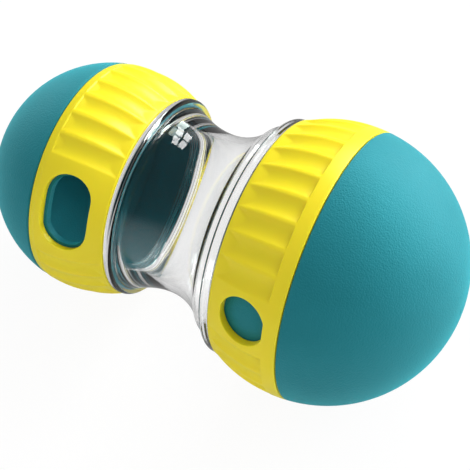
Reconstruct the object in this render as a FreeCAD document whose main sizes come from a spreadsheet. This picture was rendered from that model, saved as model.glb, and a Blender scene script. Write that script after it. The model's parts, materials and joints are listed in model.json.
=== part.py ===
import FreeCAD, Part
import math
import os
import re
import Sketcher

# A rolling treat dispenser for pets: a clear hourglass tube with a ball on each end.
# Each ball is a teal dome on a teal gate sleeve, with a yellow fluted collar that turns on
# the sleeve. Treats fall out where the window of the collar meets the window of the sleeve.
# The toy lies on its two balls. Its own axis is X, from the small ball to the big one, and
# angles about it are counted from straight up towards the front (-Y).

Vector = FreeCAD.Vector
Placement = FreeCAD.Placement
Rotation = FreeCAD.Rotation

# Sizes that both ends share, in millimetres and degrees
SHARED_SIZES = [
    ("rim_gap", "0.3", "collar to the flange of the tube"),
    ("seam_gap", "0.3", "collar to the dome"),
    ("running_gap", "0.3", "collar to the sleeve, along the ball"),
    ("bearing_gap", "0.08", "collar to the sleeve, at the mouth bearing"),
    ("thread_gap", "0.2", "neck of the tube to the bore of the sleeve"),
    ("spigot_gap", "0.1", "spigot of the sleeve to the socket of the dome"),
    ("edge_chamfer", "0.4", "broken edge of each rim"),
    ("neck_length", "4.7", "neck inside the sleeve"),
    ("ring_length", "4.8", "threaded ring of the sleeve"),
    ("neck_wall", "2.4", "wall of the neck"),
    ("gate_inset", "1.0", "window of the sleeve inside that of the collar"),
    ("flute_round", "1.5", "radius at the bottom of a flute"),
    ("ramp_sink", "0.1", "end of a flute under the surface"),
    ("lug_angle", "180", "middle of the stop lug, straight down"),
    ("lug_span", "6", "width of the stop lug round the sleeve"),
    ("lug_length", "1.5", "stop lug along the axis"),
    ("lug_end", "0.5", "stop lug to the seam"),
    ("lug_height", "0.8", "stop lug above the sleeve"),
    ("recess_depth", "0.8", "recess for the lug in the collar"),
    ("stop_play", "1", "play at each stop"),
]

# Sizes of each end
BIG_SIZES = [
    ("centre", "33.77", "middle of the ball along the axis"),
    ("ball_radius", "42.6", "outside of the ball"),
    ("seam", "4.63", "seam of dome and collar, outwards from the middle"),
    ("mouth", "19.57", "face of the tube flange, inwards from the middle"),
    ("collar_wall", "2.6", "wall of the collar under its ridges"),
    ("sleeve_wall", "2.3", "wall of the gate sleeve"),
    ("dome_wall", "2.4", "wall of the dome"),
    ("mouth_radius", "36.0", "outside of the sleeve at its mouth"),
    ("bore_radius", "33.6", "bore of the threaded ring"),
    ("spigot_radius", "38.95", "spigot that goes into the dome"),
    ("spigot_length", "4.6", "length of the spigot"),
    ("window_angle", "67.97", "window of the collar, at rest"),
    ("window_centre", "7.1", "window, inwards from the middle"),
    ("window_flat", "7.0", "its outer flat from its middle"),
    ("window_back", "7.4", "its inner flat from its middle"),
    ("window_end", "7.5", "round end of the window from its middle"),
    ("window_corner", "1.8", "corner between flat and round end"),
    ("gate_turn", "-45", "window of the sleeve from that of the collar, at rest"),
    ("travel", "45", "turn between the stops"),
    ("stop_side", "1", "side of the lug on which its recess lies"),
    ("plain_span", "25.4", "plain zone round the window"),
    ("flute_count", "32", "flutes round the collar"),
    ("flute_depth", "1.1", "depth of a flute"),
    ("flute_slope", "20", "slope of its flanks"),
    ("flute_outer", "0.23", "outer end of a flute, from the middle"),
    ("flute_inner", "18.27", "inner end of a flute, from the middle"),
    ("ramp_inner", "14.4", "foot of the run-out ramp, from the middle"),
]
SMALL_SIZES = [
    ("centre", "-41.5", "middle of the ball along the axis"),
    ("ball_radius", "36.4", "outside of the ball"),
    ("seam", "7.26", "seam of dome and collar, outwards from the middle"),
    ("mouth", "17.1", "face of the tube flange, inwards from the middle"),
    ("collar_wall", "2.1", "wall of the collar under its ridges"),
    ("sleeve_wall", "2.2", "wall of the gate sleeve"),
    ("dome_wall", "1.9", "wall of the dome"),
    ("mouth_radius", "30.5", "outside of the sleeve at its mouth"),
    ("bore_radius", "28.2", "bore of the threaded ring"),
    ("spigot_radius", "33.0", "spigot that goes into the dome"),
    ("spigot_length", "2.2", "length of the spigot"),
    ("window_angle", "57.34", "window of the collar, at rest"),
    ("window_centre", "4.6", "window, inwards from the middle"),
    ("window_flat", "7.4", "its outer flat from its middle"),
    ("window_back", "7.4", "its inner flat from its middle"),
    ("window_end", "11.9", "round end of the window from its middle"),
    ("window_corner", "7.2", "corner between flat and round end"),
    ("gate_turn", "0", "window of the sleeve from that of the collar, at rest"),
    ("travel", "55", "turn between the stops"),
    ("stop_side", "-1", "side of the lug on which its recess lies"),
    ("plain_span", "50.5", "plain zone round the window"),
    ("flute_count", "27", "flutes round the collar"),
    ("flute_depth", "0.82", "depth of a flute"),
    ("flute_slope", "17", "slope of its flanks"),
    ("flute_outer", "4.5", "outer end of a flute, from the middle"),
    ("flute_inner", "16.2", "inner end of a flute, from the middle"),
    ("ramp_inner", "13.2", "foot of the run-out ramp, from the middle"),
]

# Sizes that follow from those of an end
END_FORMULAS = [
    ("collar_bore", "ball_radius - collar_wall", "inside of the collar"),
    ("gate_radius", "collar_bore - running_gap", "outside of the sleeve"),
    ("gate_bore", "gate_radius - sleeve_wall", "inside of the sleeve"),
    ("dome_bore", "ball_radius - dome_wall", "inside of the dome"),
    ("bearing_radius", "mouth_radius + bearing_gap", "bearing of the collar"),
    ("socket_radius", "spigot_radius + spigot_gap", "socket of the dome"),
    ("collar_narrow", "mouth - rim_gap", "narrow rim of the collar, inwards"),
    ("collar_wide", "seam - seam_gap / 2", "wide rim of the collar, outwards"),
    ("dome_rim", "seam + seam_gap / 2", "rim of the dome, outwards"),
    ("lug_start", "seam - lug_end - lug_length", "inner end of the stop lug, outwards"),
    ("neck_radius", "bore_radius - thread_gap", "outside of the neck"),
    ("neck_bore", "neck_radius - neck_wall", "inside of the neck"),
    ("flute_pitch", "(360 - plain_span) / flute_count", "pitch of the flutes"),
    ("flute_bottom", "ball_radius - flute_depth", "bottom of a flute from the middle"),
    ("flute_foot", "flute_round * sin(flute_slope * 1 deg)", "half width of its round bottom"),
    ("flute_foot_rise", "flute_bottom + flute_round * (1 - cos(flute_slope * 1 deg))",
     "where its flanks begin"),
    ("flute_top", "flute_foot + (ball_radius + 1 - flute_foot_rise) / tan(flute_slope * 1 deg)",
     "half width above the surface"),
    ("flute_half", "flute_foot + (ball_radius - flute_foot_rise) / tan(flute_slope * 1 deg)",
     "half width at the surface"),
    ("rest_radius", "sqrt(ball_radius ^ 2 - flute_half ^ 2)",
     "ground to the middle of the ball, on the two lowest ridges"),
]
# The big ball rests on two ridges, the small one on the edge of its plain band
REST_FORMULAS = [
    ("small_band_radius", "sqrt(small_ball_radius ^ 2 - small_flute_outer ^ 2)",
     "radius of that edge"),
    ("rest_span", "big_centre - small_centre + small_flute_outer",
     "middle of the big ball to that edge, along the axis"),
    ("rest_tilt", "asin(big_rest_radius / sqrt(rest_span ^ 2 + small_band_radius ^ 2))"
     " - atan(small_band_radius / rest_span)", "tilt of the axis"),
    ("axis_height", "big_rest_radius - big_centre * sin(rest_tilt)", "height of the axis origin"),
    ("frame_shift", "(small_ball_radius - big_ball_radius"
     " - (big_centre + small_centre) * cos(rest_tilt)) / 2", "axis origin along X"),
]

# Sizes of the hourglass tube, measured from its two faces and from the mouths that they close
TUBE_SIZES = [
    ("waist_reach", "16.4", "waist from the small face"),
    ("waist_depth", "3.8", "waist under the tube at the small flange"),
    ("waist_wall", "2.3", "wall at the waist"),
    ("left_root_reach", "2.8", "where the tube meets the small flange, from the small face"),
    ("left_step", "2.35", "small flange above the tube"),
    ("left_lip", "1.65", "small flange beyond the mouth of its sleeve"),
    ("left_flange_thick", "2.1", "thickness of the small flange"),
    ("left_bore_reach", "2.4", "inside, where the small neck begins, from the small face"),
    ("right_root_reach", "7.7", "where the flare ends, from the big face"),
    ("shoulder_rise", "1.6", "shoulder above the end of the flare"),
    ("shoulder_reach", "5.0", "shoulder in front of the big flange, from the big face"),
    ("right_step", "3.3", "big flange above the shoulder"),
    ("shoulder_round", "3.2", "rounding of the shoulder"),
    ("right_lip", "1.6", "big flange beyond the mouth of its sleeve"),
    ("right_flange_thick", "3.6", "thickness of the big flange"),
    ("right_bore_reach", "6.2", "inside, where the big neck begins, from the big face"),
    ("flange_round", "1.2", "rounding of the flange edges"),
]
TUBE_FORMULAS = [
    ("small_face", "small_centre + small_mouth", "face of the small flange"),
    ("big_face", "big_centre - big_mouth", "face of the big flange"),
    ("waist_place", "small_face + waist_reach", "waist along the axis"),
    ("left_root", "small_face + left_root_reach", "foot of the small flange"),
    ("left_bore_end", "small_face + left_bore_reach", "end of the small neck's bore"),
    ("right_root", "big_face - right_root_reach", "end of the flare"),
    ("shoulder_place", "big_face - shoulder_reach", "shoulder along the axis"),
    ("right_bore_end", "big_face - right_bore_reach", "end of the big neck's bore"),
    ("left_flange_radius", "small_mouth_radius + left_lip", "small flange"),
    ("left_root_radius", "left_flange_radius - left_step", "tube at the small flange"),
    ("waist_radius", "left_root_radius - waist_depth", "outside of the waist"),
    ("right_flange_radius", "big_mouth_radius + right_lip", "big flange"),
    ("shoulder_radius", "right_flange_radius - right_step", "shoulder"),
    ("right_root_radius", "shoulder_radius - shoulder_rise", "end of the flare"),
]

ENDS = {"big": (BIG_SIZES, 1), "small": (SMALL_SIZES, -1)}
END_NAMES = {name for name, _, _ in BIG_SIZES + END_FORMULAS}
PLAIN_SIZES = SHARED_SIZES + TUBE_SIZES + TUBE_FORMULAS + REST_FORMULAS
PLAIN_NAMES = {name for name, _, _ in PLAIN_SIZES}


def size_name(word, end):
    """Gives the name a word has in the sheet, or the word itself if it is no size."""
    if word in END_NAMES:
        return end + "_" + word
    return word


def with_end(formula, end):
    """Writes a formula with the sizes of one end."""
    return re.sub("[a-z_]+", lambda found: size_name(found[0], end), formula)


def fill_sheet(sheet):
    """Writes each size, its value or formula and its meaning into the sheet."""
    rows = list(SHARED_SIZES)
    for end, (sizes, _) in ENDS.items():
        rows += [(f"{end}_{name}", value, meaning) for name, value, meaning in sizes]
        rows += [
            (f"{end}_{name}", "=" + with_end(formula, end), meaning)
            for name, formula, meaning in END_FORMULAS
        ]
    rows += TUBE_SIZES
    rows += [
        (name, "=" + formula, meaning)
        for name, formula, meaning in TUBE_FORMULAS + REST_FORMULAS
    ]
    for row, (alias, value, meaning) in enumerate(rows, start=1):
        sheet.set(f"A{row}", alias)
        sheet.set(f"B{row}", value)
        sheet.set(f"C{row}", meaning)
        sheet.setAlias(f"B{row}", alias)


def arc_between(start, finish, radius, side):
    """Gives the short arc between two points and which of its ends each point is."""
    chord = finish - start
    half = chord.Length / 2
    normal = Vector(-chord.y, chord.x, 0).normalize()
    middle = (start + finish) * 0.5 + normal * (side * math.sqrt(radius**2 - half**2))
    angles = [math.atan2(point.y - middle.y, point.x - middle.x) for point in (start, finish)]
    circle = Part.Circle(middle, Vector(0, 0, 1), radius)
    if side > 0:
        return Part.ArcOfCircle(circle, angles[0], angles[1]), (1, 2)
    return Part.ArcOfCircle(circle, angles[1], angles[0]), (2, 1)


class Piece:
    """One moulded piece: a body that stands in the frame of the resting toy."""

    def __init__(self, doc, label, end=""):
        self.doc = doc
        self.end = end
        self.side = ENDS[end][1] if end else 1
        self.body = doc.addObject("PartDesign::Body", label)
        self.body.Label = label
        self.body.Placement = Placement(Vector(), Rotation(Vector(0, -1, 0), 1))
        self.body.setExpression("Placement.Base.x", "Sizes.frame_shift")
        self.body.setExpression("Placement.Base.z", "Sizes.axis_height")
        self.body.setExpression("Placement.Rotation.Angle", "Sizes.rest_tilt")

    def formula(self, text):
        """Writes a formula so that it reads its sizes from the sheet."""
        known = END_NAMES | PLAIN_NAMES
        return re.sub(
            "[a-z_]+",
            lambda found: "Sizes." + size_name(found[0], self.end) if found[0] in known else found[0],
            text,
        )

    def value(self, text):
        """Works a formula out."""
        result = self.doc.getObject("Sizes").evalExpression(self.formula(text))
        return float(getattr(result, "Value", result))

    def out(self, text):
        """Gives the place along the axis of a distance outwards from the middle of the ball."""
        return f"centre + {self.side} * ({text})"

    def sketch(self, name, role, turn="", shift=""):
        """Adds a sketch on a plane through the axis, turned about it, or across it."""
        plane = [item for item in self.body.Origin.OriginFeatures if item.Role == role][0]
        sketch = self.body.newObject("Sketcher::SketchObject", name)
        sketch.AttachmentSupport = [(plane, "")]
        sketch.MapMode = "FlatFace"
        axis = Vector(0, 0, 1) if role == "YZ_Plane" else Vector(1, 0, 0)
        if turn:
            sketch.AttachmentOffset = Placement(Vector(), Rotation(axis, 1))
            sketch.setExpression("AttachmentOffset.Rotation.Angle", self.formula(f"({turn}) * 1 deg"))
        if shift:
            sketch.setExpression("AttachmentOffset.Base.z", self.formula(shift))
        return sketch

    def bind(self, sketch, constraint, formula):
        """Adds a constraint to a sketch whose value comes from the sheet."""
        index = sketch.addConstraint(constraint)
        name = f"size{index}"
        sketch.renameConstraint(index, name)
        sketch.setExpression("Constraints." + name, self.formula(formula))

    def outline(self, sketch, corners, arcs):
        """Draws a closed outline; arcs gives radius and turning side by first corner."""
        points = [Vector(self.value(across), self.value(up), 0) for across, up in corners]
        edges = []
        for index, start in enumerate(points):
            finish = points[(index + 1) % len(points)]
            curve, order = Part.LineSegment(start, finish), (1, 2)
            if index in arcs:
                radius, side = arcs[index]
                curve, order = arc_between(start, finish, self.value(radius), side)
            edges.append((sketch.addGeometry(curve, False), order))
        for index, (edge, order) in enumerate(edges):
            previous, previous_order = edges[index - 1]
            sketch.addConstraint(
                Sketcher.Constraint("Coincident", previous, previous_order[1], edge, order[0])
            )
        for index, (edge, order) in enumerate(edges):
            across, up = corners[index]
            point = points[index]
            self.bind(
                sketch, Sketcher.Constraint("DistanceX", -1, 1, edge, order[0], point.x), across
            )
            if up == "0":
                sketch.addConstraint(Sketcher.Constraint("PointOnObject", edge, order[0], -1))
            else:
                self.bind(
                    sketch, Sketcher.Constraint("DistanceY", -1, 1, edge, order[0], point.y), up
                )
            if index in arcs:
                radius = arcs[index][0]
                self.bind(sketch, Sketcher.Constraint("Radius", edge, self.value(radius)), radius)

    def section(self, name, corners, arcs, turn=""):
        """Draws an outline of outward distance and radius on a plane through the axis."""
        sketch = self.sketch(name, "XZ_Plane", turn)
        sides = {index: (radius, side * self.side) for index, (radius, side) in arcs.items()}
        self.outline(sketch, [(self.out(across), up) for across, up in corners], sides)
        return sketch

    def revolve(self, kind, name, sketch, span=""):
        """Turns a section about the axis of the toy, all the way or over a span about its middle."""
        feature = self.body.newObject("PartDesign::" + kind, name)
        feature.Profile = sketch
        feature.ReferenceAxis = (sketch, ["H_Axis"])
        if span:
            feature.Midplane = True
            feature.setExpression("Angle", self.formula(span))
        self.doc.recompute()
        return feature

    def window(self, turn, inset):
        """Cuts the window through the wall, with two flats and round ends."""
        sketch = self.sketch("WindowOutline", "XY_Plane", turn)
        middle = self.out("-window_centre")
        end = f"(window_end - {inset})"
        corner = f"(window_corner - {inset})"
        across = "(window_end - window_corner)"
        stretch = f"{end} / {across}"
        corners = []
        for flat, way in (("window_flat", self.side), ("window_back", -self.side)):
            reach = f"({flat} - window_corner)"
            rise = f"sqrt({across} ^ 2 - {reach} ^ 2)"
            place = f"{middle} + {way} * ({flat} - {inset})"
            knee = f"{middle} + {way} * {reach} * {stretch}"
            turned = [(knee, f"-{rise} * {stretch}"), (place, f"-{rise}"),
                      (place, rise), (knee, f"{rise} * {stretch}")]
            corners.append((way, turned))
        corners.sort(key=lambda item: -item[0])
        right, left = corners[0][1], corners[1][1]
        ring = right + left[::-1]
        arcs = {0: (corner, 1), 2: (corner, 1), 3: (end, 1), 4: (corner, 1), 6: (corner, 1), 7: (end, 1)}
        self.outline(sketch, ring, arcs)
        pocket = self.body.newObject("PartDesign::Pocket", "Window")
        pocket.Profile = sketch
        pocket.Reversed = True
        pocket.setExpression("Length", self.formula("ball_radius + 5"))
        self.doc.recompute()


def build_collar(doc, end):
    """Builds the yellow collar: fluted outside, with a window, a bearing and a stop recess."""
    piece = Piece(doc, end + "_collar", end)
    shell = piece.section(
        "ShellSection",
        [
            ("-collar_narrow", "bearing_radius"),
            ("-collar_narrow", "sqrt(ball_radius ^ 2 - collar_narrow ^ 2) - edge_chamfer"),
            ("edge_chamfer - collar_narrow",
             "sqrt(ball_radius ^ 2 - (collar_narrow - edge_chamfer) ^ 2)"),
            ("collar_wide - edge_chamfer",
             "sqrt(ball_radius ^ 2 - (collar_wide - edge_chamfer) ^ 2)"),
            ("collar_wide", "sqrt(ball_radius ^ 2 - collar_wide ^ 2) - edge_chamfer"),
            ("collar_wide", "collar_bore"),
            ("0 * seam", "collar_bore"),
            ("-sqrt(collar_bore ^ 2 - bearing_radius ^ 2)", "bearing_radius"),
        ],
        {2: ("ball_radius", -1), 6: ("collar_bore", 1)},
    )
    piece.revolve("Revolution", "Shell", shell)

    # One flute follows the ball, and the pattern leaves the zone of the window plain
    turn = "window_angle + plain_span / 2 + flute_pitch / 2"
    flute = piece.sketch("FluteSection", "YZ_Plane", turn, "centre")
    piece.outline(
        flute,
        [
            ("-flute_foot", "flute_foot_rise"),
            ("flute_foot", "flute_foot_rise"),
            ("flute_top", "ball_radius + 1"),
            ("-flute_top", "ball_radius + 1"),
        ],
        {0: ("flute_round", 1)},
    )
    cut = piece.body.newObject("PartDesign::Groove", "Flute")
    cut.Profile = flute
    cut.ReferenceAxis = (flute, ["H_Axis"])
    cut.Type = "TwoAngles"
    reaches = ["flute_outer", "flute_inner"][:: piece.side]
    cut.setExpression("Angle", piece.formula(f"asin({reaches[0]} / ball_radius)"))
    cut.setExpression("Angle2", piece.formula(f"asin({reaches[1]} / ball_radius)"))
    doc.recompute()
    pattern = piece.body.newObject("PartDesign::PolarPattern", "Flutes")
    pattern.Originals = [cut]
    pattern.Axis = (shell, ["H_Axis"])
    piece.body.Tip = pattern
    pattern.setExpression("Angle", piece.formula("flute_pitch * (flute_count - 1)"))
    pattern.setExpression("Occurrences", piece.formula("flute_count"))
    doc.recompute()

    # The flutes run out over a ramp at the narrow rim
    surface = "sqrt(ball_radius ^ 2 - flute_inner ^ 2)"
    bottom = "sqrt(flute_bottom ^ 2 - ramp_inner ^ 2)"
    ramp = piece.section(
        "RampSection",
        [
            ("-flute_inner", f"{surface} - ramp_sink"),
            ("-ramp_inner", f"{bottom} - ramp_sink / 2"),
            ("-ramp_inner", f"{bottom} - flute_depth * 0.8"),
            ("-flute_inner", f"{surface} - flute_depth * 1.2"),
        ],
        {},
    )
    piece.revolve("Revolution", "Ramp", ramp)
    piece.window("window_angle", "0")

    # The stop lug of the sleeve runs in a recess that is open at the wide rim
    recess = piece.section(
        "RecessSection",
        [
            ("lug_start - running_gap", "collar_bore - 0.5"),
            ("lug_start - running_gap", "collar_bore + recess_depth"),
            ("collar_wide + 1", "collar_bore + recess_depth"),
            ("collar_wide + 1", "collar_bore - 0.5"),
        ],
        {},
        "lug_angle + stop_side * travel / 2",
    )
    piece.revolve("Groove", "StopRecess", recess, "lug_span + travel + 2 * stop_play")
    return piece.body


def build_sleeve(doc, end):
    """Builds the teal gate sleeve: threaded ring, ball zone with a window, spigot and lug."""
    piece = Piece(doc, end + "_gate_sleeve", end)
    shell = piece.section(
        "ShellSection",
        [
            ("-mouth", "bore_radius"),
            ("-mouth", "mouth_radius"),
            ("-sqrt(gate_radius ^ 2 - mouth_radius ^ 2)", "mouth_radius"),
            ("0 * seam", "gate_radius"),
            ("dome_rim", "gate_radius"),
            ("dome_rim", "spigot_radius"),
            ("dome_rim + spigot_length", "spigot_radius"),
            ("dome_rim + spigot_length", "gate_bore"),
            ("0 * seam", "gate_bore"),
            ("ring_length - mouth", "sqrt(gate_bore ^ 2 - (mouth - ring_length) ^ 2)"),
            ("ring_length - mouth", "bore_radius"),
        ],
        {2: ("gate_radius", -1), 8: ("gate_bore", 1)},
    )
    piece.revolve("Revolution", "Shell", shell)
    piece.window("window_angle + gate_turn", "gate_inset")
    lug = piece.section(
        "LugSection",
        [
            ("lug_start", "gate_radius - 0.5"),
            ("lug_start", "gate_radius + lug_height"),
            ("lug_start + lug_length", "gate_radius + lug_height"),
            ("lug_start + lug_length", "gate_radius - 0.5"),
        ],
        {},
        "lug_angle",
    )
    piece.revolve("Revolution", "StopLug", lug, "lug_span")
    return piece.body


def build_dome(doc, end):
    """Builds the teal dome with the socket for the spigot of the sleeve."""
    piece = Piece(doc, end + "_dome", end)
    shell = piece.section(
        "ShellSection",
        [
            ("dome_rim", "socket_radius"),
            ("dome_rim", "sqrt(ball_radius ^ 2 - dome_rim ^ 2) - edge_chamfer"),
            ("dome_rim + edge_chamfer", "sqrt(ball_radius ^ 2 - (dome_rim + edge_chamfer) ^ 2)"),
            ("ball_radius", "0"),
            ("dome_bore", "0"),
            ("sqrt(dome_bore ^ 2 - socket_radius ^ 2)", "socket_radius"),
        ],
        {2: ("ball_radius", -1), 4: ("dome_bore", 1)},
    )
    piece.revolve("Revolution", "Shell", shell)
    return piece.body


def tangent_radius(along, rise):
    """Gives the radius of an arc that starts level and rises over a distance along the axis."""
    return f"(({along}) ^ 2 + ({rise}) ^ 2) / 2 / ({rise})"


def build_tube(doc):
    """Builds the clear hourglass tube with its two flanges and necks."""
    piece = Piece(doc, "hourglass_tube")
    inner_waist = "waist_radius - waist_wall"
    corners = [
        ("small_face - neck_length", "Sizes.small_neck_bore"),
        ("small_face - neck_length", "Sizes.small_neck_radius - edge_chamfer"),
        ("small_face - neck_length + edge_chamfer", "Sizes.small_neck_radius"),
        ("small_face", "Sizes.small_neck_radius"),
        ("small_face", "left_flange_radius"),
        ("small_face + left_flange_thick - flange_round", "left_flange_radius"),
        ("small_face + left_flange_thick", "left_flange_radius - flange_round"),
        ("small_face + left_flange_thick", "left_root_radius"),
        ("left_root", "left_root_radius"),
        ("waist_place", "waist_radius"),
        ("right_root", "right_root_radius"),
        ("shoulder_place", "shoulder_radius"),
        ("big_face - right_flange_thick", "shoulder_radius"),
        ("big_face - right_flange_thick", "right_flange_radius - flange_round * 1.6"),
        ("big_face - right_flange_thick + flange_round * 1.6", "right_flange_radius"),
        ("big_face", "right_flange_radius"),
        ("big_face", "Sizes.big_neck_radius"),
        ("big_face + neck_length - edge_chamfer", "Sizes.big_neck_radius"),
        ("big_face + neck_length", "Sizes.big_neck_radius - edge_chamfer"),
        ("big_face + neck_length", "Sizes.big_neck_bore"),
        ("right_bore_end", "Sizes.big_neck_bore"),
        ("waist_place", inner_waist),
        ("left_bore_end", "Sizes.small_neck_bore"),
    ]
    arcs = {
        5: ("flange_round", -1),
        8: (tangent_radius("waist_place - left_root", "left_root_radius - waist_radius"), 1),
        9: (tangent_radius("right_root - waist_place", "right_root_radius - waist_radius"), 1),
        10: ("shoulder_round", -1),
        13: ("flange_round * 1.6", -1),
        20: (tangent_radius("right_bore_end - waist_place",
                            f"Sizes.big_neck_bore - ({inner_waist})"), -1),
        21: (tangent_radius("waist_place - left_bore_end",
                            f"Sizes.small_neck_bore - ({inner_waist})"), -1),
    }
    wall = piece.sketch("WallSection", "XZ_Plane")
    piece.outline(wall, corners, arcs)
    piece.revolve("Revolution", "Wall", wall)
    return piece.body


def build():
    """Builds every piece, checks it and writes it out."""
    doc = FreeCAD.newDocument("TreatDispenser")
    sheet = doc.addObject("Spreadsheet::Sheet", "Sizes")
    fill_sheet(sheet)
    doc.recompute()
    bodies = [build_tube(doc)]
    for end in ENDS:
        bodies += [build_dome(doc, end), build_sleeve(doc, end), build_collar(doc, end)]
    doc.recompute()
    for item in doc.Objects:
        if "Invalid" in item.State or "Error" in item.State:
            raise ValueError(f"{item.Label} is {item.State}")
    os.makedirs("parts", exist_ok=True)
    for body in bodies:
        if body.Shape.isNull() or not body.Shape.isValid() or len(body.Shape.Solids) != 1:
            raise ValueError(f"{body.Label} isn't one sound solid")
        body.Shape.exportStep(f"parts/{body.Label}.step")
        box = body.Shape.BoundBox
        print(f"{body.Label}: {body.Shape.Volume / 1000:.2f} cm3, {len(body.Shape.Faces)} faces, "
              f"x {box.XMin:.2f} {box.XMax:.2f} y {box.YMin:.2f} {box.YMax:.2f} "
              f"z {box.ZMin:.2f} {box.ZMax:.2f}")


build()
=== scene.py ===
"""Looks of a rolling treat dispenser: a clear hourglass tube, two teal balls, two yellow collars."""
import json
import logging
import math
from dataclasses import dataclass
from enum import Enum

import bpy
import numpy as np
from mathutils import Matrix, Vector


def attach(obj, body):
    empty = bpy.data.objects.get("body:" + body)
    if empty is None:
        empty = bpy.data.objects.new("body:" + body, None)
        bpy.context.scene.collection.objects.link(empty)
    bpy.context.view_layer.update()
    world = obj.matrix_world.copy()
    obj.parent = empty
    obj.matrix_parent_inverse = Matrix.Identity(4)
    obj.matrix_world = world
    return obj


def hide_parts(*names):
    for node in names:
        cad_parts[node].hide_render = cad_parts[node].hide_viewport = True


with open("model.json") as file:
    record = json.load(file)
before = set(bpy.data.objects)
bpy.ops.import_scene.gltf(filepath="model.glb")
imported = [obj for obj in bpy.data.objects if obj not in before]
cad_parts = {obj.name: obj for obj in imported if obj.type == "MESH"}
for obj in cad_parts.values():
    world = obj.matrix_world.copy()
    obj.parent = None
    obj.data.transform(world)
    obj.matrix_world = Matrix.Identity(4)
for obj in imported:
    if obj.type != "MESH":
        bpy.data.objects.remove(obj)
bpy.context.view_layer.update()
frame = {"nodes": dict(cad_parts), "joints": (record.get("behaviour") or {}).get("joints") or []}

MM = 0.001
# The middle of the big ball along the toy's own axis, in millimetres
BIG_BALL_PLACE = 33.77
TUBE = "clear_hourglass_tube"
LOG = logging.getLogger("treat_dispenser")
Point = tuple[float, float]
Way = tuple[float, float, float]
Row = tuple[np.ndarray, np.ndarray]


def linear(code: str) -> tuple[float, float, float, float]:
    """Turns an sRGB hex colour into a linear one.

    Args:
        code: six hex digits after a hash sign.

    Returns:
        Red, green and blue from 0 to 1, and an alpha of 1.
    """
    parts = [int(code[place : place + 2], 16) / 255 for place in (1, 3, 5)]
    bent = [part / 12.92 if part <= 0.04045 else ((part + 0.055) / 1.055) ** 2.4 for part in parts]
    return (bent[0], bent[1], bent[2], 1.0)


def per_metre(size_mm: float) -> float:
    """Gives the texture scale at which one feature measures size_mm."""
    return 1 / (size_mm * MM)


def add_node(
    tree: bpy.types.NodeTree,
    kind: str,
    inputs: dict[str | int, object] | None = None,
    **settings: object,
) -> bpy.types.Node:
    """Adds a node with its settings, and sets or links what goes into it.

    Args:
        tree: the node tree that takes the node.
        kind: the node's type.
        inputs: a value, or the socket that feeds it, for each input by name or number.
        **settings: the node's own properties.

    Returns:
        The new node.
    """
    node = tree.nodes.new(kind)
    for name, value in settings.items():
        setattr(node, name, value)
    for name, value in (inputs or {}).items():
        if isinstance(value, bpy.types.NodeSocket):
            tree.links.new(value, node.inputs[name])
        else:
            node.inputs[name].default_value = value
    return node


def new_material(name: str) -> tuple[bpy.types.Material, bpy.types.NodeTree]:
    """Makes an empty node material.

    Args:
        name: what the material is called.

    Returns:
        The material and its node tree.
    """
    material = bpy.data.materials.new(name)
    material.use_nodes = True
    material.node_tree.nodes.clear()
    return material, material.node_tree


@dataclass(frozen=True)
class PebbledTealAbs:
    """ABS moulded in a spark-eroded tool: a fine pebble grain breaks the shine into a soft haze."""

    name: str = "pebbled teal ABS"
    colour: str = "#267883"
    deep_colour: str = "#1E6C76"
    shine_colour: str = "#48DCEA"
    haze_colour: str = "#2ADCEC"
    ior: float = 1.54
    shine: float = 0.9
    roughness: float = 0.55
    smoother: float = 0.06
    rougher: float = 0.08
    haze: float = 0.5
    haze_roughness: float = 0.45
    # The real grain is near 0.3 mm, which is under one pixel, so it is drawn at 0.5 mm
    grain_mm: float = 0.52
    grain_height_mm: float = 0.15
    grain_strength: float = 0.9
    grain_softness: float = 0.6
    pit_share: float = 0.9
    cloud_mm: float = 14.0

    def material(self) -> bpy.types.Material:
        """Builds the grain, the faint clouding of the colour and the haze.

        Returns:
            The material.
        """
        material, tree = new_material(self.name)
        place = add_node(tree, "ShaderNodeTexCoord").outputs["Object"]
        pebbles = add_node(
            tree,
            "ShaderNodeTexVoronoi",
            {"Vector": place, "Scale": per_metre(self.grain_mm), "Smoothness": self.grain_softness},
            feature="SMOOTH_F1",
        )
        pits = add_node(
            tree,
            "ShaderNodeTexNoise",
            {"Vector": place, "Scale": per_metre(self.grain_mm * self.pit_share), "Detail": 2.0},
        )
        height = add_node(
            tree,
            "ShaderNodeMix",
            {"Factor": 0.5, "A": pebbles.outputs["Distance"], "B": pits.outputs["Fac"]},
        )
        bump = add_node(
            tree,
            "ShaderNodeBump",
            {
                "Height": height.outputs["Result"],
                "Distance": self.grain_height_mm * MM,
                "Strength": self.grain_strength,
            },
        )
        cloud = add_node(
            tree,
            "ShaderNodeTexNoise",
            {"Vector": place, "Scale": per_metre(self.cloud_mm), "Detail": 3.0},
        )
        colour = add_node(
            tree,
            "ShaderNodeMix",
            {6: linear(self.colour), 7: linear(self.deep_colour), "Factor": cloud.outputs["Fac"]},
            data_type="RGBA",
        )
        roughness = add_node(
            tree,
            "ShaderNodeMapRange",
            {
                "Value": pits.outputs["Fac"],
                "To Min": self.roughness - self.smoother,
                "To Max": self.roughness + self.rougher,
            },
        )
        surface = add_node(
            tree,
            "ShaderNodeBsdfPrincipled",
            {
                "Base Color": colour.outputs[2],
                "Roughness": roughness.outputs["Result"],
                "IOR": self.ior,
                "Normal": bump.outputs["Normal"],
                "Specular IOR Level": self.shine,
                "Specular Tint": linear(self.shine_colour),
                "Sheen Weight": self.haze,
                "Sheen Roughness": self.haze_roughness,
                "Sheen Tint": linear(self.haze_colour),
            },
        )
        add_node(tree, "ShaderNodeOutputMaterial", {"Surface": surface.outputs["BSDF"]})
        return material


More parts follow.
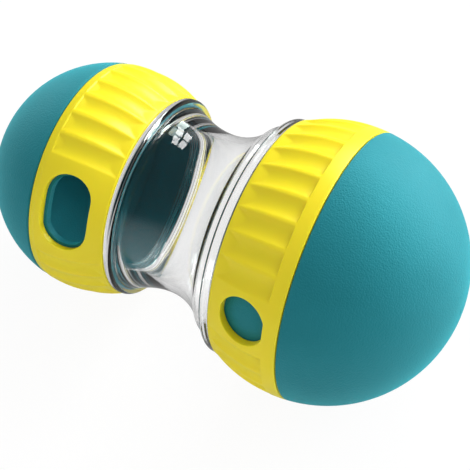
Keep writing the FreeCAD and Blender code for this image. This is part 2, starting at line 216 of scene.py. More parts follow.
@dataclass(frozen=True)
class SatinYellowAbs:
    """ABS moulded in a stoned tool: even satin, faintly waxy, with a painted highlight that draws the
    ridges a little lighter.
    """

    name: str = "satin yellow ABS"
    colour: str = "#ECD90C"
    # Painted highlight: the lighter yellow that the ridges are drawn in
    ridge_highlight_colour: str = "#F8EB22"
    ior: float = 1.54
    roughness: float = 0.4
    roughness_spread: float = 0.05
    texture_mm: float = 0.5
    texture_height_mm: float = 0.006
    texture_strength: float = 0.8
    # Pointiness is 0.5 on a flat face and more on a ridge
    ridge_start: float = 0.52
    ridge_top: float = 0.6
    glow: float = 0.4
    glow_reach: Way = (1.0, 0.8, 0.1)
    glow_mm: float = 2.5

    def material(self) -> bpy.types.Material:
        """Builds the fine texture, the painted highlight on the ridges and the waxy depth.

        Returns:
            The material.
        """
        material, tree = new_material(self.name)
        place = add_node(tree, "ShaderNodeTexCoord").outputs["Object"]
        texture = add_node(
            tree,
            "ShaderNodeTexNoise",
            {"Vector": place, "Scale": per_metre(self.texture_mm), "Detail": 3.0},
        )
        bump = add_node(
            tree,
            "ShaderNodeBump",
            {
                "Height": texture.outputs["Fac"],
                "Distance": self.texture_height_mm * MM,
                "Strength": self.texture_strength,
            },
        )
        shape = add_node(tree, "ShaderNodeNewGeometry")
        # Painted highlight: the yellow is drawn lighter where pointiness marks a ridge
        painted_ridge_highlight = add_node(
            tree,
            "ShaderNodeMapRange",
            {
                "Value": shape.outputs["Pointiness"],
                "From Min": self.ridge_start,
                "From Max": self.ridge_top,
            },
        )
        colour = add_node(
            tree,
            "ShaderNodeMix",
            {6: linear(self.colour), 7: linear(self.ridge_highlight_colour), "Factor": painted_ridge_highlight.outputs["Result"]},
            data_type="RGBA",
        )
        roughness = add_node(
            tree,
            "ShaderNodeMapRange",
            {
                "Value": texture.outputs["Fac"],
                "To Min": self.roughness - self.roughness_spread,
                "To Max": self.roughness + self.roughness_spread,
            },
        )
        surface = add_node(
            tree,
            "ShaderNodeBsdfPrincipled",
            {
                "Base Color": colour.outputs[2],
                "Roughness": roughness.outputs["Result"],
                "IOR": self.ior,
                "Normal": bump.outputs["Normal"],
                "Subsurface Weight": self.glow,
                "Subsurface Radius": self.glow_reach,
                "Subsurface Scale": self.glow_mm * MM,
            },
        )
        add_node(tree, "ShaderNodeOutputMaterial", {"Surface": surface.outputs["BSDF"]})
        return material


@dataclass(frozen=True)
class ClearPolycarbonate:
    """Polycarbonate moulded in a polished tool: water clear, with slow flow waves and faint scuffs."""

    name: str = "clear polycarbonate"
    colour: str = "#FFFFFF"
    depth_colour: str = "#D7DEDC"
    depth_per_metre: float = 4.0
    ior: float = 1.58
    roughness: float = 0.015
    wave_mm: float = 9.0
    wave_height_mm: float = 0.005
    scuff_mm: float = 3.0
    scuff_start: float = 0.55
    scuff_full: float = 0.8
    scuff_times: float = 3.0

    def material(self) -> bpy.types.Material:
        """Builds the clear body, the flow waves, the scuffs and the faint grey of a long way through.

        Returns:
            The material.
        """
        material, tree = new_material(self.name)
        place = add_node(tree, "ShaderNodeTexCoord").outputs["Object"]
        waves = add_node(
            tree,
            "ShaderNodeTexNoise",
            {"Vector": place, "Scale": per_metre(self.wave_mm), "Detail": 1.0},
        )
        bump = add_node(
            tree,
            "ShaderNodeBump",
            {"Height": waves.outputs["Fac"], "Distance": self.wave_height_mm * MM, "Strength": 1.0},
        )
        scuffs = add_node(
            tree,
            "ShaderNodeTexNoise",
            {"Vector": place, "Scale": per_metre(self.scuff_mm), "Detail": 4.0},
        )
        roughness = add_node(
            tree,
            "ShaderNodeMapRange",
            {
                "Value": scuffs.outputs["Fac"],
                "From Min": self.scuff_start,
                "From Max": self.scuff_full,
                "To Min": self.roughness,
                "To Max": self.roughness * self.scuff_times,
            },
        )
        surface = add_node(
            tree,
            "ShaderNodeBsdfPrincipled",
            {
                "Base Color": linear(self.colour),
                "Roughness": roughness.outputs["Result"],
                "IOR": self.ior,
                "Transmission Weight": 1.0,
                "Normal": bump.outputs["Normal"],
            },
        )
        depth = add_node(
            tree,
            "ShaderNodeVolumeAbsorption",
            {"Color": linear(self.depth_colour), "Density": self.depth_per_metre},
        )
        add_node(
            tree,
            "ShaderNodeOutputMaterial",
            {"Surface": surface.outputs["BSDF"], "Volume": depth.outputs["Volume"]},
        )
        return material


def joint_place(name: str) -> tuple[Vector, Vector]:
    """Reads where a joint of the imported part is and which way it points.

    Args:
        name: the joint's name.

    Returns:
        Its place in metres and its axis.
    """
    joint = next(item for item in frame["joints"] if item["name"] == name)
    return Vector(joint["pos_m"]), Vector(joint["axis"]).normalized()


def toy_matrix() -> Matrix:
    """Places the toy's own frame, whose X runs along its axis to the big ball.

    Returns:
        The matrix from the toy's frame in millimetres to the row frame in metres.
    """
    middle, axis = joint_place("big_collar_turn")
    side = Vector((0, 1, 0))
    up = axis.cross(side)
    turn = Matrix((axis, side, up)).transposed().to_4x4()
    origin = middle - axis * (BIG_BALL_PLACE * MM)
    return Matrix.Translation(origin) @ turn @ Matrix.Scale(MM, 4)


def add_object(name: str, points: np.ndarray, faces: list[list[int]]) -> bpy.types.Object:
    """Makes an object from points in the toy's frame.

    Args:
        name: the object's name.
        points: one row of x, y and z in millimetres for each point.
        faces: the point numbers of each face.

    Returns:
        The object, in the row frame.
    """
    placed = np.array(toy_matrix())
    moved = points @ placed[:3, :3].T + placed[:3, 3]
    mesh = bpy.data.meshes.new(name)
    mesh.from_pydata(moved.tolist(), [], faces)
    mesh.validate()
    made = bpy.data.objects.new(name, mesh)
    bpy.context.scene.collection.objects.link(made)
    return made


def shade(mesh: bpy.types.Mesh, sharp_degrees: float) -> None:
    """Shades a mesh smooth, with the edges above an angle kept crisp."""
    mesh.shade_smooth()
    mesh.set_sharp_from_angle(angle=math.radians(sharp_degrees))


def ring_faces(rows: int, columns: int, closed: bool = True) -> np.ndarray:
    """Numbers the faces of a grid whose columns go once round.

    Args:
        rows: how many rows of points the grid has.
        columns: how many points a row has.
        closed: whether the last row joins the first.

    Returns:
        One row of four point numbers for each face.
    """
    last = rows if closed else rows - 1
    row, column = np.meshgrid(np.arange(last), np.arange(columns), indexing="ij")
    this, after = row * columns, (row + 1) % rows * columns
    beside = (column + 1) % columns
    corners = [this + column, this + beside, after + beside, after + column]
    return np.stack(corners, axis=-1).reshape(-1, 4)


def level_radius(waist: Point, root: Point) -> float:
    """Gives the radius of the arc that leaves the waist level and ends at the root."""
    along, rise = root[0] - waist[0], root[1] - waist[1]
    return (along**2 + rise**2) / (2 * rise)


def smooth_low(first: np.ndarray, second: np.ndarray, width: float) -> np.ndarray:
    """Gives the lower of two heights, rounded where they meet within width."""
    share = np.clip(0.5 + (second - first) / (2 * width), 0, 1)
    return second * (1 - share) + first * share - width * share * (1 - share)


def smooth_high(first: np.ndarray, second: np.ndarray, width: float) -> np.ndarray:
    """Gives the higher of two heights, rounded where they meet within width."""
    return -smooth_low(-first, -second, width)


def smooth_step(share: np.ndarray) -> np.ndarray:
    """Gives a share that leaves 0 and reaches 1 gently."""
    return share**2 * (3 - 2 * share)


@dataclass(frozen=True)
class Stretch:
    """One stretch of an outline, up to the start of the next one.

    It is straight without a radius. A positive radius bends it to the left of its way, a negative
    one to the right.
    """

    start: Point
    steps: int
    radius: float = 0.0

    def points(self, finish: Point) -> list[Point]:
        """Gives the points of the stretch, without the last one.

        Args:
            finish: where the next stretch starts.

        Returns:
            The points.
        """
        first, last = np.array(self.start), np.array(finish)
        if not self.radius:
            return [tuple(first + (last - first) * step / self.steps) for step in range(self.steps)]
        chord = last - first
        half = np.linalg.norm(chord) / 2
        normal = np.array((-chord[1], chord[0])) / (2 * half)
        rise = math.copysign(math.sqrt(self.radius**2 - half**2), self.radius)
        middle = (first + last) / 2 + normal * rise
        begin, end = (math.atan2(*(point - middle)[::-1]) for point in (first, last))
        sweep = (end - begin + math.pi) % (2 * math.pi) - math.pi
        turns = [begin + sweep * step / self.steps for step in range(self.steps)]
        reach = abs(self.radius)
        return [(middle[0] + reach * math.cos(a), middle[1] + reach * math.sin(a)) for a in turns]


@dataclass
class HourglassTube:
    """The clear middle piece: a waist between two flanges, with a threaded neck beyond each.

    Sizes are in millimetres and places run along the toy's axis.
    """

    # The big face touches its sleeve, so the teal shows bright in it; the small one keeps some air
    small_face: float = -24.38
    big_face: float = 14.22
    neck_length: float = 4.7
    small_neck: float = 28.0
    big_neck: float = 33.4
    neck_wall: float = 2.4
    small_flange: float = 32.15
    big_flange: float = 37.6
    small_flange_thick: float = 2.1
    big_flange_thick: float = 3.6
    small_flange_round: float = 1.2
    big_flange_round: float = 1.92
    waist_place: float = -8.0
    waist_radius: float = 26.0
    waist_wall: float = 2.3
    small_root: Point = (-21.6, 29.8)
    big_root: Point = (6.5, 32.7)
    shoulder: Point = (9.2, 34.3)
    shoulder_round: float = 3.2
    small_bore_place: float = -22.0
    big_bore_place: float = 8.0
    corner_reach: float = 0.35
    corner_degrees: float = 25
    corner_points: int = 5
    thread_depth: float = 0.6
    thread_pitch: float = 2.0
    # A ridge this many depths high, cut off at one depth, falls this many depths in a pitch
    thread_peak: float = 1.6
    thread_fall: float = 4.4
    thread_run_out: float = 0.5
    thread_relief: float = 0.25
    # What lies deeper than this in the neck's wall stays where it is
    thread_skin: float = 0.5
    columns: int = 320
    sharp_degrees: float = 50

    def outline(self) -> list[Point]:
        """Draws the section of the wall, from the small neck round to it again.

        Returns:
            Points of place along the axis and radius.
        """
        small_end = self.small_face - self.neck_length
        big_end = self.big_face + self.neck_length
        small_bore = (self.small_bore_place, self.small_neck - self.neck_wall)
        big_bore = (self.big_bore_place, self.big_neck - self.neck_wall)
        waist = (self.waist_place, self.waist_radius)
        inner = (self.waist_place, self.waist_radius - self.waist_wall)
        small_back = self.small_face + self.small_flange_thick
        big_front = self.big_face - self.big_flange_thick
        small_round, big_round = self.small_flange_round, self.big_flange_round
        stretches = [
            Stretch((small_end, small_bore[1]), 6),
            Stretch((small_end, self.small_neck), 34),
            Stretch((self.small_face, self.small_neck), 8),
            Stretch((self.small_face, self.small_flange), 4),
            Stretch((small_back - small_round, self.small_flange), 7, -small_round),
            Stretch((small_back, self.small_flange - small_round), 3),
            Stretch((small_back, self.small_root[1]), 2),
            Stretch(self.small_root, 22, level_radius(waist, self.small_root)),
            Stretch(waist, 22, level_radius(waist, self.big_root)),
            Stretch(self.big_root, 7, -self.shoulder_round),
            Stretch(self.shoulder, 3),
            Stretch((big_front, self.shoulder[1]), 3),
            Stretch((big_front, self.big_flange - big_round), 8, -big_round),
            Stretch((big_front + big_round, self.big_flange), 4),
            Stretch((self.big_face, self.big_flange), 8),
            Stretch((self.big_face, self.big_neck), 34),
            Stretch((big_end, self.big_neck), 6),
            Stretch((big_end, big_bore[1]), 12),
            Stretch(big_bore, 24, -level_radius(inner, big_bore)),
            Stretch(inner, 20, -level_radius(inner, small_bore)),
            Stretch(small_bore, 10),
        ]
        points: list[Point] = []
        for stretch, following in zip(stretches, stretches[1:] + stretches[:1]):
            points += stretch.points(following.start)
        return points

    def rounded(self, points: list[Point]) -> list[Point]:
        """Rounds the sharp corners of an outline.

        Args:
            points: a closed outline.

        Returns:
            The outline with a short curve at each corner.
        """
        # A curve may take nearly the whole of a short side
        most = 0.95
        shape = np.array(points)
        result: list[Point] = []
        for index, corner in enumerate(shape):
            before = shape[index - 1] - corner
            after = shape[(index + 1) % len(shape)] - corner
            sizes = np.linalg.norm(before), np.linalg.norm(after)
            bend = math.degrees(math.acos(np.clip(-(before @ after) / (sizes[0] * sizes[1]), -1, 1)))
            if bend < self.corner_degrees:
                result.append(tuple(corner))
                continue
            pull = min(self.corner_reach, sizes[0] * most, sizes[1] * most)
            first = corner + before / sizes[0] * pull
            last = corner + after / sizes[1] * pull
            for share in np.linspace(0, 1, self.corner_points):
                point = (1 - share) ** 2 * first + 2 * share * (1 - share) * corner + share**2 * last
                result.append(tuple(point))
        return result

    def thread(self, place: np.ndarray, angle: np.ndarray, start: float, way: int) -> np.ndarray:
        """Gives how far the neck lies under the crest of its thread.

        Args:
            place: places along the axis.
            angle: angles about the axis in radians.
            start: where the neck meets its flange.
            way: 1 if the neck points to the big ball, -1 if to the small one.

        Returns:
            The depth under the crest at each place and angle.
        """
        reach = (place - start) * way
        left = self.neck_length - reach
        turn = (reach / self.thread_pitch - angle / (2 * math.pi) * way) % 1
        ridge = np.clip(self.thread_peak - np.abs(turn - 0.5) * self.thread_fall, 0, 1)
        room = np.clip(reach / self.thread_run_out - 1, 0, 1)
        room *= np.clip(left / self.thread_run_out - 1, 0, 1)
        inside = np.clip(reach / self.thread_relief, 0, 1)
        return self.thread_depth * inside * (1 - ridge * room)

    def build(self) -> bpy.types.Object:
        """Turns the section round the axis and cuts the threads into the necks.

        Returns:
            The tube.
        """
        # A point this near to a face still belongs to it
        slack = 0.01
        profile = np.array(self.rounded(self.outline()))
        angles = np.linspace(0, 2 * math.pi, self.columns, endpoint=False)
        place = np.repeat(profile[:, :1], self.columns, axis=1)
        radius = np.repeat(profile[:, 1:], self.columns, axis=1)
        turn = np.repeat(angles[None, :], len(profile), axis=0)
        necks = ((self.small_face, self.small_neck, -1), (self.big_face, self.big_neck, 1))
        for face, neck, way in necks:
            outside = ((place - face) * way > slack) & (radius > neck - self.thread_skin)
            radius = radius - outside * self.thread(place, turn, face, way)
        points = np.stack([place, -radius * np.sin(turn), radius * np.cos(turn)], axis=-1)
        faces = ring_faces(len(profile), self.columns)
        piece = add_object(TUBE, points.reshape(-1, 3), faces.tolist())
        shade(piece.data, self.sharp_degrees)
        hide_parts("hourglass_tube")
        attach(piece, "tube")
        return piece

    def dress(self, piece: bpy.types.Object, material: bpy.types.Material) -> None:
        """Gives the tube its clear finish."""
        piece.data.materials.append(material)


class End(Enum):
    """The two ends of the toy, by the way that each points along the axis."""

    BIG = 1
    SMALL = -1


@dataclass
class FlutedCollar:
    """A yellow collar: flutes that follow the ball, a plain zone round its window, a bearing.

    Sizes are in millimetres and angles in degrees. Distances along the axis are counted outwards
    from the middle of the ball.
    """

    end: End
    place: float
    ball_radius: float
    narrow: float
    wide: float
    bore: float
    bearing: float
    window_angle: float
    window_centre: float
    window_flat: float
    window_back: float
    window_end: float
    window_corner: float
    plain_span: float
    flute_count: int
    flute_depth: float
    flute_slope: float
    flute_outer: float
    flute_inner: float
    ramp_inner: float
    flute_round: float
    # The big collar has no step on its wide rim, so its step starts beyond it
    step_start: float = 99.0
    step_depth: float = 0.18
    step_run: float = 0.3
    crest_blend: float = 0.22
    ramp_blend: float = 0.08
    ramp_foot_sink: float = 0.05
    ramp_top_sink: float = 0.1
    # The open end of a flute: where it starts past its mark, its length, and the rows drawn there
    mouth_past: float = 0.15
    mouth_run: float = 0.5
    mouth_span: Point = (-0.45, 0.25)
    mouth_rows: int = 10
    edge_round: float = 0.3
    edge_rows: int = 4
    bevel: float = 0.2
    row_step: float = 0.45
    bore_rows: int = 14
    columns_each: int = 28
    plain_step: float = 0.8
    corner_steps: int = 8
    end_steps: int = 26
    sharp_degrees: float = 42

    def pitch(self) -> float:
        """Gives the angle from one flute to the next, in degrees."""
        return (360 - self.plain_span) / self.flute_count

    def angles(self) -> np.ndarray:
        """Gives the column angles, counted from the end of the plain zone, in degrees.

        Returns:
            One angle for each column, closer together over the flutes.
        """
        fluted = np.arange(self.flute_count * self.columns_each) * self.pitch() / self.columns_each
        plain = np.arange(0, self.plain_span, self.plain_step)
        return np.concatenate([fluted, self.pitch() * self.flute_count + plain])

    def ramp(self, lean: np.ndarray, bottom: float) -> np.ndarray:
        """Gives the reach of the slope by which a flute ends towards the tube.

        Args:
            lean: angle from the middle plane of the ball, outwards, in radians.
            bottom: how far the bottom of a flute lies from the middle of the ball.

        Returns:
            The distance from the middle of the ball for each angle.
        """
        foot = (-self.ramp_inner, math.sqrt(bottom**2 - self.ramp_inner**2) - self.ramp_foot_sink)
        surface = math.sqrt(self.ball_radius**2 - self.flute_inner**2)
        top = (-self.flute_inner, surface - self.ramp_top_sink)
        climb = (top[1] - foot[1]) / (top[0] - foot[0])
        return (foot[1] - foot[0] * climb) / (np.cos(lean) - np.sin(lean) * climb)

    def flute_reach(self, lean: np.ndarray, turn: np.ndarray) -> np.ndarray:
        """Gives how far the fluted surface lies from the middle of the ball.

        Args:
            lean: angle from the middle plane of the ball, outwards, in radians.
            turn: angle about the axis from the end of the plain zone, in degrees.

        Returns:
            The distance in millimetres for each direction.
        """
        pitch = self.pitch()
        nearest = np.clip(np.round(turn / pitch - 0.5), 0, self.flute_count - 1)
        off = np.radians(turn - (nearest + 0.5) * pitch)
        slope = math.radians(self.flute_slope)
        bottom = self.ball_radius - self.flute_depth
        foot = self.flute_round * math.sin(slope)
        foot_rise = bottom + self.flute_round * (1 - math.cos(slope))
        across = np.cos(lean) * np.sin(off)
        within = np.sqrt(1 - across**2)
        reach = np.full(lean.shape, self.ball_radius)
        # The width at a direction depends on the reach there, so it is found in a few rounds
        for _ in range(4):
            width = np.abs(reach * across)
            curve = bottom + self.flute_round - np.sqrt(self.flute_round**2 - np.minimum(width, foot) ** 2)
            height = np.where(width < foot, curve, foot_rise + (width - foot) * math.tan(slope))
            reach = height / within
        reach = smooth_high(reach, self.ramp(lean, bottom), self.ramp_blend)
        along = np.arctan2(np.sin(lean), np.cos(lean) * np.cos(off)) * self.ball_radius
        is_open = np.clip((self.flute_outer + self.mouth_past - along) / self.mouth_run, 0, 1)
        ball = np.full_like(reach, self.ball_radius)
        cut = ball - smooth_low(ball, reach, self.crest_blend)
        on_step = np.clip((lean * self.ball_radius - self.step_start) / self.step_run, 0, 1)
        return ball - cut * smooth_step(is_open) - self.step_depth * smooth_step(on_step)

    def edge(self, row: Row, way: int) -> list[Row]:
        """Gives the rows that round an outer edge.

        Args:
            row: the last row of the outer surface.
            way: 1 if the edge is rounded outwards, -1 if towards the tube.

        Returns:
            The rows, from the surface to the end face.
        """
        turns = np.linspace(0, math.pi / 2, self.edge_rows + 1)[1:]
        size = self.edge_round
        return [(row[0] + way * size * math.sin(a), row[1] - size * (1 - math.cos(a))) for a in turns]

    def rows(self, turn: np.ndarray) -> list[Row]:
        """Gives the rows of the collar: outwards over the flutes and back through the bore.

        Args:
            turn: the column angles from the end of the plain zone, in degrees.

        Returns:
            For each row, the outward distance and the radius at every column.
        """
        radius = self.ball_radius
        first = math.asin((-self.narrow + self.edge_round) / radius)
        last = math.asin((self.wide - self.edge_round) / radius)
        leans = np.linspace(first, last, int((last - first) * radius / self.row_step))
        mouth_at = math.asin(self.flute_outer / radius)
        mouth = mouth_at + np.linspace(*self.mouth_span, self.mouth_rows) / radius
        outside: list[Row] = []
        for lean in np.sort(np.concatenate([leans, mouth])):
            reach = self.flute_reach(np.full_like(turn, lean), turn)
            outside.append((reach * math.sin(lean), reach * math.cos(lean)))
        flat = np.ones_like(turn)
        rows = [(-self.narrow * flat, (self.bearing + self.bevel) * flat)]
        rows += self.edge(outside[0], -1)[::-1] + outside + self.edge(outside[-1], 1)
        rows.append((self.wide * flat, (self.bore + self.bevel) * flat))
        rows.append(((self.wide - self.bevel) * flat, self.bore * flat))
        knee = math.sqrt(self.bore**2 - self.bearing**2)
        for place in np.linspace(0, -knee, self.bore_rows):
            rows.append((place * flat, math.sqrt(self.bore**2 - place**2) * flat))
        rows.append(((-self.narrow + self.bevel) * flat, self.bearing * flat))
        return rows

    def window_outline(self, grow: float) -> np.ndarray:
        """Draws the window's outline, grown by a distance.

        Args:
            grow: how far outside the true edge the outline runs.

        Returns:
            Points of outward distance from the window's middle and distance across.
        """
        across = self.window_end - self.window_corner
        corners = []
        for flat in (self.window_flat, self.window_back):
            reach = flat - self.window_corner
            rise = math.sqrt(across**2 - reach**2)
            corners.append((reach, rise, math.atan2(rise, reach)))
        (front, front_rise, front_turn), (back, back_rise, back_turn) = corners
        corner = self.window_corner + grow
        end = self.window_end + grow
        arcs = [
            ((front, front_rise), corner, 0.0, front_turn, self.corner_steps),
            ((0, 0), end, front_turn, math.pi - back_turn, self.end_steps),
            ((-back, back_rise), corner, math.pi - back_turn, math.pi, self.corner_steps),
            ((-back, -back_rise), corner, math.pi, math.pi + back_turn, self.corner_steps),
            ((0, 0), end, math.pi + back_turn, 2 * math.pi - front_turn, self.end_steps),
            ((front, -front_rise), corner, -front_turn, 0.0, self.corner_steps),
        ]
        points: list[Point] = []
        for (x, y), radius, begin, finish, count in arcs:
            for angle in np.linspace(begin, finish, count, endpoint=False):
                points.append((x + radius * math.cos(angle), y + radius * math.sin(angle)))
        return np.array(points)

    def placed(self, outward: np.ndarray, across: np.ndarray, height: np.ndarray) -> np.ndarray:
        """Turns places at the window into the toy's frame.

        Args:
            outward: distance outwards from the middle of the ball.
            across: distance across the window, round the axis.
            height: distance from the axis, straight out through the window.

        Returns:
            One row of x, y and z for each place.
        """
        angle = math.radians(self.window_angle)
        x = self.place + self.end.value * outward
        y = across * math.cos(angle) - height * math.sin(angle)
        z = across * math.sin(angle) + height * math.cos(angle)
        return np.stack([x, y, z], axis=-1)

    def cutter_ring(self, grow: float, sink: float, height: float | None = None) -> np.ndarray:
        """Places one ring of the block that cuts the window.

        Args:
            grow: how far outside the window's edge it runs.
            sink: how far below the surface of the ball it lies.
            height: its distance from the axis, where it doesn't follow the ball.

        Returns:
            One row of x, y and z for each point.
        """
        outline = self.window_outline(grow)
        outward, across = outline[:, 0] - self.window_centre, outline[:, 1]
        surface = np.sqrt(self.ball_radius**2 - outward**2 - across**2) - sink
        return self.placed(outward, across, surface if height is None else np.full_like(surface, height))

    def cutter(self) -> bpy.types.Object:
        """Makes the block that cuts the window and leaves its outer edge rounded.

        Returns:
            The block.
        """
        foot_height, head_room = 15.0, 6.0
        # The rounding stops short of level, and above the ball the block is a little narrower
        round_turn, round_rings, head_share = math.radians(78), 6, 0.8
        size = self.edge_round
        rings = [self.cutter_ring(0.0, 0.0, foot_height)]
        for angle in np.linspace(0, round_turn, round_rings):
            rings.append(self.cutter_ring(size * (1 - math.cos(angle)), size * (1 - math.sin(angle))))
        rings.append(self.cutter_ring(size * head_share, 0.0, self.ball_radius + head_room))
        count = len(rings[0])
        points = np.concatenate(rings + [rings[0].mean(0)[None], rings[-1].mean(0)[None]])
        faces = ring_faces(len(rings), count, closed=False).tolist()
        foot, head = len(points) - 2, len(points) - 1
        top = (len(rings) - 1) * count
        faces += [[foot, (step + 1) % count, step] for step in range(count)]
        faces += [[head, top + step, top + (step + 1) % count] for step in range(count)]
        if self.end is End.SMALL:
            faces = [face[::-1] for face in faces]
        return add_object("window_cutter", points, faces)

    def cut_window(self, piece: bpy.types.Object) -> None:
        """Cuts the window through the collar.

        Args:
            piece: the collar.
        """
        block = self.cutter()
        cut = piece.modifiers.new("window", "BOOLEAN")
        cut.operation = "DIFFERENCE"
        cut.solver = "EXACT"
        cut.object = block
        graph = bpy.context.evaluated_depsgraph_get()
        finished = bpy.data.meshes.new_from_object(piece.evaluated_get(graph))
        piece.modifiers.clear()
        piece.data = finished
        bpy.data.objects.remove(block)

    def build(self) -> bpy.types.Object:
        """Builds the collar and cuts its window.

        Returns:
            The collar.
        """
        turn = self.angles()
        rows = self.rows(turn)
        beta = np.radians(turn + self.window_angle + self.plain_span / 2)
        outward = np.stack([row[0] for row in rows])
        radius = np.stack([row[1] for row in rows])
        x = self.place + self.end.value * outward
        points = np.stack([x, -radius * np.sin(beta), radius * np.cos(beta)], axis=-1)
        faces = ring_faces(len(rows), len(turn))
        if self.end is End.SMALL:
            faces = faces[:, ::-1]
        name = self.end.name.lower()
        piece = add_object(f"{name}_fluted_collar", points.reshape(-1, 3), faces.tolist())
        shade(piece.data, self.sharp_degrees)
        self.cut_window(piece)
        shade(piece.data, self.sharp_degrees)
        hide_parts(f"{name}_collar")
        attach(piece, f"{name}_ring")
        return piece

    def dress(self, piece: bpy.types.Object, material: bpy.types.Material) -> None:
        """Gives the collar its yellow finish."""
        piece.data.materials.clear()
        piece.data.materials.append(material)


@dataclass
class BallShell:
    """The teal shell of one ball: its dome and its gate sleeve, whose CAD shapes stay."""

    end: End

    def pieces(self) -> list[bpy.types.Object]:
        """Finds the dome and the gate sleeve among the CAD pieces."""
        return [frame["nodes"][f"{self.end.name.lower()}_{part}"] for part in ("dome", "gate_sleeve")]

    def dress(self, piece: bpy.types.Object, material: bpy.types.Material) -> None:
        """Gives one piece of the shell its teal finish.

        Args:
            piece: the dome or the gate sleeve.
            material: the teal finish.
        """
        for slot in piece.material_slots:
            slot.link = "OBJECT"
            slot.material = material


@dataclass(frozen=True)
class SoftBox:
    """A rectangular lamp that looks at the toy, with its sizes in metres and its power in watts.

    Its way from the toy is given as shares of camera right, up and back.
    """

    name: str
    way: Way
    distance: float
    size: Point
    power: float


@dataclass(frozen=True)
class PanedWindow:
    """A window of four lit panes, whose bars show where the clear tube mirrors it.

    The steps from pane to pane are shares of the distance. The power is that of one pane.
    """

    name: str
    way: Way
    power: float
    distance: float = 0.9
    step_across: float = 0.14
    step_up: float = 0.25
    pane: Point = (0.095, 0.19)

    def panes(self, world_up: Vector) -> list[SoftBox]:
        """Gives the panes as lamps.

        Args:
            world_up: straight up, as shares of camera right, up and back.

        Returns:
            The four lamps.
        """
        middle = Vector(self.way).normalized()
        across = world_up.cross(middle).normalized()
        upward = middle.cross(across)
        boxes: list[SoftBox] = []
        for column in (-0.5, 0.5):
            for row in (-0.5, 0.5):
                way = middle + across * column * self.step_across + upward * row * self.step_up
                name = f"{self.name}_{column}_{row}"
                boxes.append(SoftBox(name, tuple(way), self.distance, self.pane, self.power))
        return boxes


